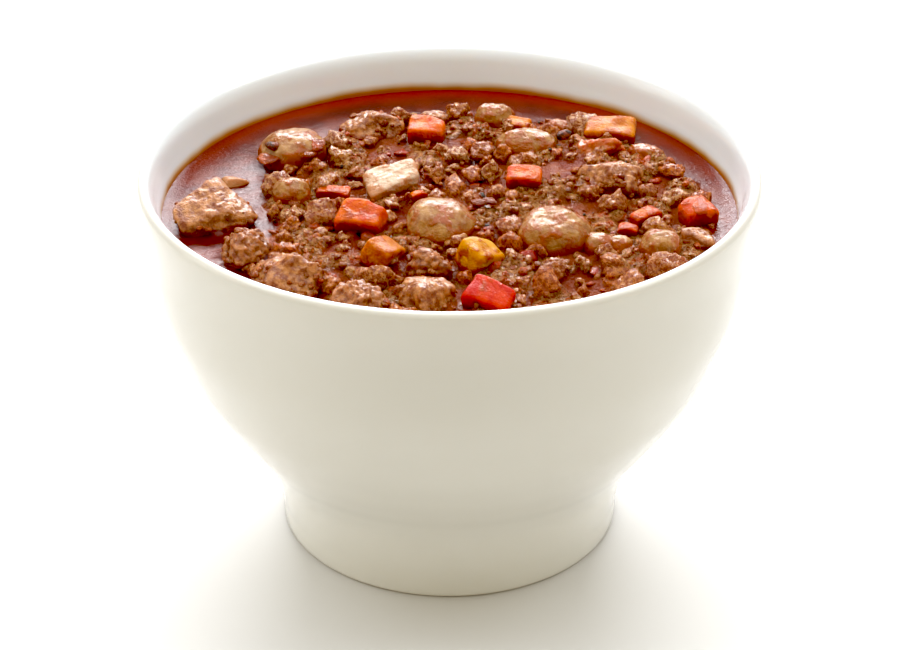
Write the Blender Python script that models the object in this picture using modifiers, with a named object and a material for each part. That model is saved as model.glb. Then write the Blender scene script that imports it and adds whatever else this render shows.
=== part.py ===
"""A footed porcelain bowl of chili con carne, standing on its foot ring.

The frame has +Z up and its origin on the table, at the centre of the foot ring. The
bowl is one turned shell. The chili is one solid that fills it up to the level of the
sauce, with a low uneven heap in the middle. Each larger bite (beef, mince, beans,
diced peppers, potato, tomato) is a solid of its own, half sunk in a socket.

Sizes are in millimetres and are multiplied by MM where they meet Blender.
"""

import math

import bmesh
import bpy
from mathutils import Euler, Vector, noise

MM = 0.001

# Bowl: the driving sizes.
BOWL_HEIGHT = 84.0
RIM_RADIUS = 65.0
FOOT_RADIUS = 37.0
WALL = 3.8
LIP = 2.8
LIP_TURNS = 6
FOOT_RING = 2.4
FOOT_EDGE = 0.6
RECESS_DEPTH = 7.0
FLOOR_HEIGHT = 13.2
BOWL_AROUND = 56

# Chili: the sauce stands this far under the rim, and the heap rises out of it.
SAUCE_DROP = 9.0
SAUCE_LEVEL = BOWL_HEIGHT - SAUCE_DROP
SAUCE_RADIUS = RIM_RADIUS - WALL - 1.0
GAP = 0.3
HEAP_CENTRE = (6.0, -6.0)
HEAP_RADIUS = 50.0
HEAP_RISE = 1.9
HEAP_ROUGHNESS = 0.6
HEAP_GRAIN = 9.0
TOP_RINGS = 10
CHILI_AROUND = 48

MERGE = 1e-5

# Each kind of bite: its colour, its roughness, and how lumpy it is.
KINDS = {
    "beef": {"colour": (0.30, 0.10, 0.045, 1), "roughness": 0.45, "lumps": 0.16},
    "mince": {"colour": (0.24, 0.10, 0.04, 1), "roughness": 0.5, "lumps": 0.22},
    "bean": {"colour": (0.42, 0.20, 0.09, 1), "roughness": 0.35, "lumps": 0.05},
    "potato": {"colour": (0.62, 0.45, 0.25, 1), "roughness": 0.4, "lumps": 0.1},
    "tomato": {"colour": (0.50, 0.09, 0.03, 1), "roughness": 0.3, "lumps": 0.18},
    "pepper_orange": {"colour": (0.62, 0.10, 0.01, 1), "roughness": 0.3},
    "pepper_amber": {"colour": (0.50, 0.14, 0.01, 1), "roughness": 0.3},
    "pepper_yellow": {"colour": (0.60, 0.26, 0.02, 1), "roughness": 0.3},
    "pepper_red": {"colour": (0.55, 0.03, 0.01, 1), "roughness": 0.3},
}

# Each bite: name, kind, place from the bowl's centre, how far its middle lies above
# the sauce, its length, width and height, and its turn, pitch and roll in degrees.
BITES = [
    ("beef_left", "beef", (-48, -6.5), 0.4, (14.5, 15, 10), (20, 0, 0)),
    ("beef_front_left", "beef", (-32, -36), 0.6, (11.5, 15, 10), (35, 5, 0)),
    ("beef_front", "beef", (-4.5, -44.5), 0.9, (10.5, 11, 8.5), (10, 0, 8)),
    ("beef_back_left", "beef", (-17.5, 36), 0.4, (13.5, 10.5, 7), (8, 0, 0)),
    ("beef_right", "beef", (34, 9.5), 0.2, (14, 12, 8), (-25, 0, 5)),
    ("mince_left", "mince", (-41, -23.5), 0.5, (10, 11.5, 9), (-30, 0, 0)),
    ("mince_front", "mince", (-4.3, -31), 0.9, (8, 8.5, 8), (0, 0, 0)),
    ("mince_front_left", "mince", (-17.5, -46), 0.7, (10.5, 9.5, 8.5), (-15, 0, 0)),
    ("bean_back_left", "bean", (-34, 22.5), 0.3, (14.5, 12.5, 9.5), (18, -6, 0)),
    ("bean_left", "bean", (-33.5, 1), 0.9, (7.5, 6.5, 7), (-20, 0, 0)),
    ("bean_back", "bean", (10, 40.5), 0.6, (8.4, 7, 6.5), (-12, 8, 0)),
    ("bean_back_right", "bean", (17, 27), 0.2, (13, 9, 7), (-8, 0, 0)),
    ("bean_centre", "bean", (-2.2, -12.5), 0.1, (14.5, 14, 10.5), (-20, 8, 0)),
    ("bean_right", "bean", (21, -16.5), 0.1, (15.5, 14, 10.5), (-30, 0, 0)),
    ("bean_front_right", "bean", (42.5, -22.5), 0.8, (8, 6.8, 6.5), (-12, 0, 0)),
    ("potato_centre", "potato", (-12.5, 6.5), 1.4, (11.5, 9, 6), (28, -10, 6)),
    ("tomato_right", "tomato", (33, 24), 0.5, (10, 8.5, 6.5), (-12, 0, 0)),
    ("pepper_orange_back", "pepper_orange", (-5.2, 33), 1.0, (8, 6.5, 5), (-6, 4, 8)),
    ("pepper_orange_left", "pepper_orange", (-18, -11.5), 1.5, (9.5, 7, 5.5), (-18, 0, 16)),
    ("pepper_orange_mid", "pepper_orange", (16, 8.5), 1.0, (7.5, 5.5, 4.6), (-6, 0, 12)),
    ("pepper_orange_right", "pepper_orange", (51.5, -6.5), 0.6, (7, 6, 5), (25, 0, 6)),
    ("pepper_amber_back", "pepper_amber", (35.7, 33.5), 0.6, (11.5, 7, 5), (-6, 0, 10)),
    ("pepper_amber_left", "pepper_amber", (-13.6, -27.5), 1.6, (8, 6, 5.5), (58, 16, 18)),
    ("pepper_yellow_front", "pepper_yellow", (5.8, -29), 1.6, (8.5, 6.5, 5.8), (40, 20, 16)),
    ("pepper_red_front", "pepper_red", (7.4, -45.5), 1.5, (9.5, 6.5, 5.5), (-24, 12, 18)),
]
DICE_TAPER = 0.86
DICE_BOW = 0.5
DICE_BEVEL = 0.55
BEAN_BEND = 0.12
LUMP_GRAIN = 2.6


def material(name, colour, roughness):
    """A plain Principled material."""
    made = bpy.data.materials.new(name)
    made.use_nodes = True
    shader = made.node_tree.nodes["Principled BSDF"]
    shader.inputs["Base Color"].default_value = colour
    shader.inputs["Roughness"].default_value = roughness
    shader.inputs["Metallic"].default_value = 0.0
    return made


def outer_wall():
    """The bowl's outside, from under the lip down to the foot: (radius, height)."""
    return [
        (RIM_RADIUS - 0.1, BOWL_HEIGHT - 3.5),
        (RIM_RADIUS - 1.2, BOWL_HEIGHT - 11),
        (RIM_RADIUS - 1.9, BOWL_HEIGHT - 19),
        (RIM_RADIUS - 3.1, BOWL_HEIGHT - 27),
        (RIM_RADIUS - 5.9, BOWL_HEIGHT - 35.5),
        (RIM_RADIUS - 9.2, BOWL_HEIGHT - 43.5),
        (RIM_RADIUS - 14.1, BOWL_HEIGHT - 51.5),
        (FOOT_RADIUS + 9.4, 26),
        (FOOT_RADIUS + 5.9, 21),
        (FOOT_RADIUS + 3.1, 16),
        (FOOT_RADIUS + 1.2, 10.5),
        (FOOT_RADIUS + 0.1, 5),
        (FOOT_RADIUS, FOOT_EDGE),
    ]


def inner_wall():
    """The bowl's inside, from the middle of its floor up to the lip."""
    return [
        (0, FLOOR_HEIGHT),
        (25, FLOOR_HEIGHT + 3.6),
        (38, FLOOR_HEIGHT + 12),
        (48, FLOOR_HEIGHT + 23),
        (55.6, FLOOR_HEIGHT + 35),
        (SAUCE_RADIUS - 1.6, SAUCE_LEVEL - 12),
        (SAUCE_RADIUS, SAUCE_LEVEL),
        (RIM_RADIUS - LIP, BOWL_HEIGHT - LIP / 2),
    ]


def lip():
    """The half-round edge between the inside and the outside."""
    radius = LIP / 2
    turns = [math.pi * i / LIP_TURNS for i in range(1, LIP_TURNS + 1)]
    return [
        (
            RIM_RADIUS - radius - radius * math.cos(turn),
            BOWL_HEIGHT - radius + radius * math.sin(turn),
        )
        for turn in turns
    ]


def foot():
    """The flat foot ring and the shallow recess inside it, ending on the axis."""
    ring = FOOT_RADIUS - FOOT_EDGE
    return [
        (ring, 0),
        (ring - FOOT_RING, 0),
        (ring - 3.8, RECESS_DEPTH * 0.3),
        (ring - 5.4, RECESS_DEPTH * 0.8),
        (ring - 8.4, RECESS_DEPTH),
        (0, RECESS_DEPTH + 0.8),
    ]


def turned(name, profile, steps, finish, home):
    """A solid turned about +Z from a profile that starts and ends on the axis."""
    mesh = bpy.data.meshes.new(name)
    points = [(radius * MM, 0, height * MM) for radius, height in profile]
    mesh.from_pydata(points, [(i, i + 1) for i in range(len(points) - 1)], [])
    mesh.materials.append(finish)
    obj = bpy.data.objects.new(name, mesh)
    home.objects.link(obj)
    screw = obj.modifiers.new("turn", "SCREW")
    screw.steps = screw.render_steps = steps
    screw.use_merge_vertices = True
    screw.merge_threshold = MERGE
    return obj


def chili_profile():
    """The chili's blank: a flat top of rings, then the bowl's inside less the gap."""
    top = [
        Vector(((SAUCE_RADIUS - GAP) * i / TOP_RINGS, SAUCE_LEVEL))
        for i in range(TOP_RINGS + 1)
    ]
    wall = [Vector(p) for p in reversed(inner_wall()) if p[1] <= SAUCE_LEVEL]
    skin = [top[-1]]
    for above, point, below in zip(wall, wall[1:], wall[2:]):
        along = (below - above).normalized()
        skin.append(point + Vector((along.y, -along.x)) * GAP)
    return top + skin[1:] + [Vector((0, FLOOR_HEIGHT + GAP))]


def heap_rise(x, y):
    """How far the chili rises above the sauce at a place, in millimetres."""
    away = math.hypot(x - HEAP_CENTRE[0], y - HEAP_CENTRE[1]) / HEAP_RADIUS
    dome = max(0.0, 1 - away**2)
    grain = noise.noise(Vector((x, y, 0)) / HEAP_GRAIN)
    return min(1.0, 3 * dome) * (HEAP_RISE * dome**0.5 + HEAP_ROUGHNESS * grain)


def add_chili(finish, home):
    """The chili: the turned blank made a mesh, its flat top raised into the heap."""
    blank = turned("chili_blank", chili_profile(), CHILI_AROUND, finish, home)
    graph = bpy.context.evaluated_depsgraph_get()
    mesh = bpy.data.meshes.new_from_object(blank.evaluated_get(graph))
    mesh.name = "chili"
    bpy.data.objects.remove(blank)
    for vertex in mesh.vertices:
        if abs(vertex.co.z - SAUCE_LEVEL * MM) < MERGE:
            vertex.co.z += heap_rise(vertex.co.x / MM, vertex.co.y / MM) * MM
    chili = bpy.data.objects.new("chili", mesh)
    home.objects.link(chili)
    return chili


def lump_mesh(name, size, lumps, seed):
    """An uneven lump: a ball drawn out to size and pushed in and out by noise."""
    form = bmesh.new()
    bmesh.ops.create_icosphere(form, subdivisions=2, radius=0.5)
    for vertex in form.verts:
        push = noise.noise(vertex.co * LUMP_GRAIN + Vector((seed, 0, 0)))
        vertex.co *= 1 + lumps * push
        vertex.co = Vector(c * s * MM for c, s in zip(vertex.co, size))
    mesh = bpy.data.meshes.new(name)
    form.to_mesh(mesh)
    form.free()
    return mesh


def bean_mesh(name, size, lumps, seed):
    """A plump bean: a lump whose ends are bent to one side."""
    mesh = lump_mesh(name, size, lumps, seed)
    half = size[0] / 2 * MM
    for vertex in mesh.vertices:
        vertex.co.y += BEAN_BEND * size[1] * MM * (vertex.co.x / half) ** 2
    return mesh


def dice_mesh(name, size):
    """A diced pepper: a box, narrower on the cut side, with a bowed skin side."""
    form = bmesh.new()
    bmesh.ops.create_cube(form, size=1.0)
    lengthways = [e for e in form.edges if e.verts[0].co.x * e.verts[1].co.x < 0]
    bmesh.ops.subdivide_edges(form, edges=lengthways, cuts=2)
    for vertex in form.verts:
        x, y, z = vertex.co
        taper = DICE_TAPER if z < 0 else 1.0
        bow = DICE_BOW * (1 - (2 * x) ** 2)
        vertex.co = Vector((x * size[0] * taper, y * size[1] * taper, z * size[2] + bow))
        vertex.co *= MM
    mesh = bpy.data.meshes.new(name)
    form.to_mesh(mesh)
    form.free()
    return mesh


def add_bite(name, kind, place, lift, size, turns, seed, finish, home, parent):
    """One bite, placed and turned, with its own mesh."""
    is_dice = kind.startswith("pepper")
    if is_dice:
        mesh = dice_mesh(name, size)
    elif kind == "bean":
        mesh = bean_mesh(name, size, KINDS[kind]["lumps"], seed)
    else:
        mesh = lump_mesh(name, size, KINDS[kind]["lumps"], seed)
    mesh.materials.append(finish)
    mesh.shade_smooth()
    obj = bpy.data.objects.new(name, mesh)
    home.objects.link(obj)
    obj.parent = parent
    obj.location = (place[0] * MM, place[1] * MM, lift * MM)
    turn, pitch, roll = (math.radians(angle) for angle in turns)
    obj.rotation_euler = Euler((roll, pitch, turn))
    if is_dice:
        bevel = obj.modifiers.new("soft edges", "BEVEL")
        bevel.width = DICE_BEVEL * MM
        bevel.segments = 1
        bevel.limit_method = "ANGLE"
    return obj


def add_cutter(bite, home):
    """A helper: the bite grown by the gap all round, which cuts its socket."""
    graph = bpy.context.evaluated_depsgraph_get()
    mesh = bpy.data.meshes.new_from_object(bite.evaluated_get(graph))
    mesh.transform(bite.matrix_world)
    form = bmesh.new()
    form.from_mesh(mesh)
    form.normal_update()
    grown = [v.co + v.normal * v.calc_shell_factor() * GAP * MM for v in form.verts]
    for vertex, point in zip(form.verts, grown):
        vertex.co = point
    form.to_mesh(mesh)
    form.free()
    cutter = bpy.data.objects.new(bite.name + "_socket", mesh)
    cutter.hide_render = True
    cutter.display_type = "WIRE"
    home.objects.link(cutter)
    return cutter


def main():
    for obj in list(bpy.data.objects):
        bpy.data.objects.remove(obj)
    parts = bpy.data.collections.new("chili con carne")
    cutters = bpy.data.collections.new("sockets")
    for collection in (parts, cutters):
        bpy.context.scene.collection.children.link(collection)

    porcelain = material("porcelain", (0.90, 0.89, 0.86, 1), 0.12)
    sauce = material("sauce", (0.26, 0.06, 0.02, 1), 0.25)
    profile = [*inner_wall(), *lip(), *outer_wall(), *foot()]
    bowl = turned("bowl", profile, BOWL_AROUND, porcelain, parts)
    chili = add_chili(sauce, parts)
    for obj in (bowl, chili):
        obj.data.shade_smooth()

    surface = bpy.data.objects.new("sauce_level", None)
    surface.location.z = SAUCE_LEVEL * MM
    parts.objects.link(surface)
    finishes = {
        kind: material(kind, look["colour"], look["roughness"])
        for kind, look in KINDS.items()
    }
    bites = [
        add_bite(*row, seed, finishes[row[1]], parts, surface)
        for seed, row in enumerate(BITES)
    ]
    bpy.context.view_layer.update()
    for bite in bites:
        cutter = add_cutter(bite, cutters)
        socket = chili.modifiers.new(cutter.name, "BOOLEAN")
        socket.operation = "DIFFERENCE"
        socket.solver = "EXACT"
        socket.object = cutter


main()
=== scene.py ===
import math

import bpy
import numpy as np
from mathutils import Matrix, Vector


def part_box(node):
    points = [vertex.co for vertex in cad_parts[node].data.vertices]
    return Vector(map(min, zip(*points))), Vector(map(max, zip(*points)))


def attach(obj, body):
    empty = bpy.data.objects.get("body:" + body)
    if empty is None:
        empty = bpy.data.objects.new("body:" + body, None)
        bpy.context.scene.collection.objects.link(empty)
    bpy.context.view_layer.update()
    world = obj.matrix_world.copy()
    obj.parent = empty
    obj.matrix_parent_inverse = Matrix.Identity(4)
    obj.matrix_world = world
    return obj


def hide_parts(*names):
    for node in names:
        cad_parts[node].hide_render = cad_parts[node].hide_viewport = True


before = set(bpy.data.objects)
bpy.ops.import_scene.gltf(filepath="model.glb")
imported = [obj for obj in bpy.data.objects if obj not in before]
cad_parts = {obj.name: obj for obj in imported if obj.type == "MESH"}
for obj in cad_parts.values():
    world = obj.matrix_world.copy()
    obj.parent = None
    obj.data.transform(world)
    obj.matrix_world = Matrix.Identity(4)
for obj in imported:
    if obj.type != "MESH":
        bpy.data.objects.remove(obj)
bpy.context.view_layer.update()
MM = 0.001

# ---------------------------------------------------------------- camera
# A long lens looks down into the bowl from the eater's side, twenty-nine degrees below
# level. The bowl's axis stands in the middle of the picture.

CAMERA_AT = (0.0001, -0.4535, 0.2993)
CAMERA_DOWN = math.radians(29.22)
LENS_LENGTH = 96.1

lens = bpy.data.cameras.new("camera")
lens.lens = LENS_LENGTH
lens.sensor_width = 36.0
lens.clip_start = 0.01
camera = bpy.data.objects.new("camera", lens)
camera.location = CAMERA_AT
camera.rotation_euler = (math.pi / 2 - CAMERA_DOWN, 0, 0)
bpy.context.collection.objects.link(camera)
bpy.context.scene.camera = camera

# ---------------------------------------------------------------- table and light
# A plain pale table lit by a bright window behind the bowl, a wide ceiling light and a
# small window at the left. The room fills the shaded front with a creamier light.

TABLE_SIZE = 6.0
TABLE_COLOUR = (0.80, 0.795, 0.78, 1)
ROOM_FRONT = (0.80, 0.72, 0.55, 1)
ROOM_BACK = (0.93, 0.92, 0.93, 1)
ROOM_STRENGTH = 0.68
BLACK_LEVEL = (0.028, 0.028, 0.028)

bpy.ops.mesh.primitive_grid_add(x_subdivisions=12, y_subdivisions=12, size=TABLE_SIZE)
table = bpy.context.object
table.name = "table"
table_finish = bpy.data.materials.new("painted table")
table_finish.use_nodes = True
table_shader = table_finish.node_tree.nodes["Principled BSDF"]
table_shader.inputs["Base Color"].default_value = TABLE_COLOUR
table_shader.inputs["Roughness"].default_value = 0.7
table.data.materials.append(table_finish)

room = bpy.data.worlds.new("room")
room.use_nodes = True
bpy.context.scene.world = room
links = room.node_tree.links
direction = room.node_tree.nodes.new("ShaderNodeTexCoord")
split = room.node_tree.nodes.new("ShaderNodeSeparateXYZ")
span = room.node_tree.nodes.new("ShaderNodeMapRange")
span.inputs["From Min"].default_value = -0.6
span.inputs["From Max"].default_value = 0.9
tint = room.node_tree.nodes.new("ShaderNodeMix")
tint.data_type = "RGBA"
tint.inputs["A"].default_value = ROOM_FRONT
tint.inputs["B"].default_value = ROOM_BACK
links.new(direction.outputs["Generated"], split.inputs[0])
links.new(split.outputs["Y"], span.inputs["Value"])
links.new(span.outputs[0], tint.inputs["Factor"])
links.new(tint.outputs["Result"], room.node_tree.nodes["Background"].inputs["Color"])
room.node_tree.nodes["Background"].inputs["Strength"].default_value = ROOM_STRENGTH


def soft_window(name, place, aim, size, strength, colour):
    """A rectangle of light of an even brightness, turned to face a point."""
    light = bpy.data.lights.new(name, "AREA")
    light.shape = "RECTANGLE"
    light.size, light.size_y = size
    light.energy = strength * math.pi * size[0] * size[1]
    light.color = colour
    made = bpy.data.objects.new(name, light)
    made.location = place
    made.rotation_euler = (Vector(aim) - Vector(place)).to_track_quat("-Z", "Y").to_euler()
    bpy.context.collection.objects.link(made)


soft_window("window", (0.02, 1.05, 0.63), (0, 0, 0.06), (0.95, 0.32), 17.5, (0.96, 0.965, 1.0))
soft_window("ceiling", (0.0, 0.14, 1.3), (0, 0, 0.08), (3.0, 0.8), 3.0, (0.92, 0.96, 1.0))
soft_window("side window", (-1.2, 0.0, 0.45), (0, 0, 0.04), (0.6, 0.5), 1.5, (1.0, 0.98, 0.93))

scene = bpy.context.scene
scene.view_settings.view_transform = "Standard"
scene.view_settings.look = "None"
scene.view_settings.use_curve_mapping = True
scene.view_settings.curve_mapping.black_level = BLACK_LEVEL
scene.view_settings.curve_mapping.update()

# ---------------------------------------------------------------- bowl
# A turned porcelain bowl on a foot ring, dipped in clear glaze and fired. Its wall is
# thin at the lip, and the ring it stands on is wiped clean of glaze. Sizes here and below
# are in millimetres, and the inner radius is the one at the edge of the sauce.

BOWL_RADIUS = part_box("bowl")[1].x / MM
BOWL_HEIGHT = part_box("bowl")[1].z / MM
FOOT_RADIUS = 37.0
LIP = 2.8
INNER_RADIUS = BOWL_RADIUS - 4.8
BOWL_AROUND = 256
SAUCE_LEVEL = BOWL_HEIGHT - 9.7


def curve_through(knots, steps):
    """Points on a smooth curve through every knot: between two knots each point blends
    the four knots around it with the Catmull-Rom weights."""
    knots = np.array(knots, float)
    ends = (2 * knots[:1] - knots[1:2], 2 * knots[-1:] - knots[-2:-1])
    run = np.concatenate([ends[0], knots, ends[1]])
    t = (np.arange(steps) / steps)[:, None, None]
    a, b, c, d = run[:-3], run[1:-2], run[2:-1], run[3:]
    points = 0.5 * (
        2 * b + (c - a) * t + (2 * a - 5 * b + 4 * c - d) * t**2 + (3 * b - a - 3 * c + d) * t**3
    )
    return np.concatenate([points.transpose(1, 0, 2).reshape(-1, 2), knots[-1:]])


def turned_grid(profile, around):
    """A profile of (radius, height) carried round the upright axis: x and y are the
    radius times the cosine and sine of the turn."""
    turn = np.arange(around) / around * 2 * np.pi
    radius, height = profile[:, 0, None], profile[:, 1, None]
    return np.stack(
        [radius * np.cos(turn), radius * np.sin(turn), height + 0 * turn], axis=-1
    )


def closed_mesh(name, grids):
    """A mesh of closed forms. Each form is a grid of rows and columns: its columns run
    round it counterclockwise seen from its first row, and its first and last rows are
    single points, which become its two poles."""
    count, rows, columns, _ = grids.shape
    body = grids[:, 1:-1].reshape(count, -1, 3)
    points = np.concatenate([grids[:, 0, :1], body, grids[:, -1, :1]], axis=1)
    each = points.shape[1]
    row, column = np.meshgrid(np.arange(rows - 3), np.arange(columns), indexing="ij")
    beside = (column + 1) % columns
    here, below = 1 + row * columns, 1 + (row + 1) * columns
    quads = np.stack([here + column, below + column, below + beside, here + beside], axis=-1)
    edge = np.arange(columns)
    beside = (edge + 1) % columns
    last = 1 + (rows - 3) * columns
    top = np.stack([0 * edge, 1 + edge, 1 + beside], axis=-1)
    bottom = np.stack([0 * edge + each - 1, last + beside, last + edge], axis=-1)
    start = (np.arange(count) * each)[:, None, None]
    faces = (quads.reshape(1, -1, 4) + start).reshape(-1, 4).tolist()
    faces += (np.concatenate([top, bottom])[None] + start).reshape(-1, 3).tolist()
    mesh = bpy.data.meshes.new(name)
    mesh.from_pydata((points.reshape(-1, 3) * MM).tolist(), [], faces)
    mesh.shade_smooth()
    return mesh


def add_piece(name, mesh, finish):
    """A finished mesh put in the scene where it lies, in one finish, riding on the bowl."""
    mesh.materials.append(finish)
    made = bpy.data.objects.new(name, mesh)
    bpy.context.collection.objects.link(made)
    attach(made, "root")
    return made


def bowl_profile():
    """The bowl's outline from the middle of its floor up the inside, over the lip, down
    the outside, under the foot ring and back to the axis."""
    inside = curve_through(
        [
            (0, 13.2),
            (25, 16.8),
            (38, 25.2),
            (48, 36.2),
            (55.6, 48.2),
            (INNER_RADIUS - 1.6, SAUCE_LEVEL - 12),
            (INNER_RADIUS, SAUCE_LEVEL),
            (INNER_RADIUS + 0.9, BOWL_HEIGHT - 5.6),
            (BOWL_RADIUS - 3.4, BOWL_HEIGHT - 3.3),
        ],
        8,
    )
    turn = np.linspace(0, np.pi, 21)[1:-1]
    share = np.cos(turn)
    drop = np.where(share > 0, 3.3, LIP / 2) * (1 - np.sin(turn))
    lip = np.stack(
        [
            BOWL_RADIUS - LIP / 2 - np.where(share > 0, 1.27 * share + 0.22 * drop, LIP / 2 * share),
            BOWL_HEIGHT - drop,
        ],
        axis=-1,
    )
    outside = curve_through(
        [
            (BOWL_RADIUS, BOWL_HEIGHT - LIP / 2),
            (BOWL_RADIUS - 0.15, BOWL_HEIGHT - 3.5),
            (BOWL_RADIUS - 1.2, BOWL_HEIGHT - 11),
            (BOWL_RADIUS - 1.9, BOWL_HEIGHT - 19),
            (BOWL_RADIUS - 3.1, BOWL_HEIGHT - 27),
            (BOWL_RADIUS - 5.9, BOWL_HEIGHT - 35.5),
            (BOWL_RADIUS - 9.2, BOWL_HEIGHT - 43.5),
            (BOWL_RADIUS - 14.1, BOWL_HEIGHT - 51.5),
            (FOOT_RADIUS + 9.4, 26),
            (FOOT_RADIUS + 5.9, 21),
            (FOOT_RADIUS + 3.1, 16),
            (FOOT_RADIUS + 1.2, 10.5),
            (FOOT_RADIUS + 0.1, 5),
            (FOOT_RADIUS, 1.0),
            (FOOT_RADIUS - 0.25, 0.3),
            (FOOT_RADIUS - 0.7, 0),
        ],
        6,
    )
    under = curve_through(
        [
            (FOOT_RADIUS - 1.4, 0),
            (FOOT_RADIUS - 2.6, 0),
            (FOOT_RADIUS - 3.3, 0.4),
            (FOOT_RADIUS - 4.6, 2.6),
            (FOOT_RADIUS - 6.2, 5.6),
            (FOOT_RADIUS - 9.5, 7.1),
            (0, 7.8),
        ],
        6,
    )
    return np.maximum(np.concatenate([inside, lip, outside, under]), 0)


def add_node(tree, kind, inputs=(), **settings):
    """A node with its settings, and its inputs set to values or linked to outputs."""
    made = tree.nodes.new(kind)
    for setting, value in settings.items():
        setattr(made, setting, value)
    for socket, value in dict(inputs).items():
        if isinstance(value, bpy.types.NodeSocket):
            tree.links.new(value, made.inputs[socket])
        else:
            made.inputs[socket].default_value = value
    return made


def new_finish(name, **constants):
    """A Principled finish with constants on its sockets: (material, tree, shader, place)."""
    made = bpy.data.materials.new(name)
    made.use_nodes = True
    tree = made.node_tree
    shader = tree.nodes["Principled BSDF"]
    for socket, value in constants.items():
        shader.inputs[socket.replace("_", " ")].default_value = value
    place = add_node(tree, "ShaderNodeTexCoord").outputs["Object"]
    return made, tree, shader, place


def noise(tree, place, size, detail=2.0, roughness=0.5, distortion=0.0):
    """The value of a noise pattern whose blotches are about this many millimetres wide."""
    inputs = {
        "Vector": place,
        "Scale": 1 / (size * MM),
        "Detail": detail,
        "Roughness": roughness,
        "Distortion": distortion,
    }
    return add_node(tree, "ShaderNodeTexNoise", inputs).outputs[0]


def ranged(tree, value, low, high, to_low=0.0, to_high=1.0):
    """A value carried smoothly from one span to another and held at its ends."""
    inputs = {
        "Value": value,
        "From Min": low,
        "From Max": high,
        "To Min": to_low,
        "To Max": to_high,
    }
    made = add_node(tree, "ShaderNodeMapRange", inputs, interpolation_type="SMOOTHSTEP")
    return made.outputs[0]


def blended(tree, share, first, second):
    """The first colour where the share is 0 and the second where it is 1."""
    inputs = {"Factor": share, "A": first, "B": second}
    made = add_node(tree, "ShaderNodeMix", inputs, data_type="RGBA")
    return made.outputs["Result"]


def combined(tree, operation, first, second):
    """Two numbers added, multiplied and so on."""
    made = add_node(tree, "ShaderNodeMath", operation=operation)
    for socket, value in zip(made.inputs, (first, second)):
        if isinstance(value, bpy.types.NodeSocket):
            tree.links.new(value, socket)
        else:
            socket.default_value = value
    return made.outputs[0]


def bumped(tree, shader, height, depth, strength=1.0):
    """Relief on the surface from a height value, this many millimetres deep."""
    inputs = {"Height": height, "Strength": strength, "Distance": depth * MM}
    bump = add_node(tree, "ShaderNodeBump", inputs)
    tree.links.new(bump.outputs[0], shader.inputs["Normal"])


def porcelain():
    """Glazed porcelain: nearly white, with faint clouds in the glaze, a bare matt foot ring and a
    stain of red oil above the sauce. The inside wall and the top of the lip are painted whiter and
    cooler as painted light, the outer wall creamier and darker as painted shade, and the outside is
    painted paler towards the foot as painted light thrown up from the table."""
    made, tree, shader, place = new_finish(
        "glazed porcelain",
        IOR=1.5,
        Subsurface_Weight=0.12,
        Subsurface_Radius=(0.004, 0.0035, 0.003),
        Subsurface_Scale=1.0,
        Coat_Weight=0.25,
        Coat_Roughness=0.06,
    )
    split = add_node(tree, "ShaderNodeSeparateXYZ", {0: place})
    height = split.outputs["Z"]
    cloud = noise(tree, place, 28, 3)
    # Faint clouds in the glaze, in a creamy tone that is painted shade on the outer wall.
    white = blended(tree, cloud, (0.70, 0.68, 0.61, 1), (0.73, 0.71, 0.645, 1))
    # Painted light: the lower outside and the foot are painted paler, standing in for light thrown
    # up from the table.
    white = blended(tree, ranged(tree, height, 32 * MM, 8 * MM), white, (0.84, 0.825, 0.76, 1))
    bare = ranged(tree, height, 0.9 * MM, 0.2 * MM)
    white = blended(tree, bare, white, (0.66, 0.60, 0.50, 1))
    flat = add_node(tree, "ShaderNodeCombineXYZ", {"X": split.outputs["X"], "Y": split.outputs["Y"]})
    reach = add_node(tree, "ShaderNodeVectorMath", {0: flat.outputs[0]}, operation="LENGTH")
    away = reach.outputs["Value"]
    # Painted light and shade: the inside wall and the top of the lip are painted whiter and cooler
    # than the creamier outer wall.
    inside = ranged(tree, away, (BOWL_RADIUS - 2.6) * MM, (BOWL_RADIUS - 3.0) * MM)
    inside = combined(tree, "MULTIPLY", inside, ranged(tree, height, 70 * MM, 71 * MM))
    lip = ranged(tree, away, (BOWL_RADIUS - 0.5) * MM, (BOWL_RADIUS - 1.3) * MM)
    lip = combined(tree, "MULTIPLY", lip, ranged(tree, height, 80.5 * MM, 82 * MM))
    white = blended(tree, combined(tree, "MAXIMUM", lip, inside), white, (0.87, 0.93, 0.96, 1))
    wave = ranged(tree, noise(tree, place, 16, 2), 0.3, 0.7, -0.25 * MM, 0.35 * MM)
    above = combined(tree, "SUBTRACT", height, wave)
    film = ranged(tree, above, (SAUCE_LEVEL + 2.4) * MM, (SAUCE_LEVEL + 0.6) * MM)
    stain = blended(
        tree,
        ranged(tree, above, (SAUCE_LEVEL + 1.5) * MM, (SAUCE_LEVEL + 0.1) * MM),
        (0.66, 0.47, 0.18, 1),
        (0.50, 0.15, 0.022, 1),
    )
    covered = combined(tree, "MULTIPLY", film, inside)
    colour = blended(tree, covered, white, stain)
    tree.links.new(colour, shader.inputs["Base Color"])
    rough = ranged(tree, bare, 0, 1, 0.13, 0.6)
    tree.links.new(rough, shader.inputs["Roughness"])
    bumped(tree, shader, noise(tree, place, 14, 2), 0.05, 0.5)
    return made


bowl_grid = turned_grid(bowl_profile(), BOWL_AROUND)
bowl = add_piece("glazed_bowl", closed_mesh("glazed_bowl", bowl_grid[None]), porcelain())
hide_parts("bowl")

# ---------------------------------------------------------------- sauce
# Thick brown-red sauce ladled in hot. It lies flat and oily along the wall, rises into
# a low heap where the mince is packed, and climbs a little on whatever stands in it.

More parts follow.
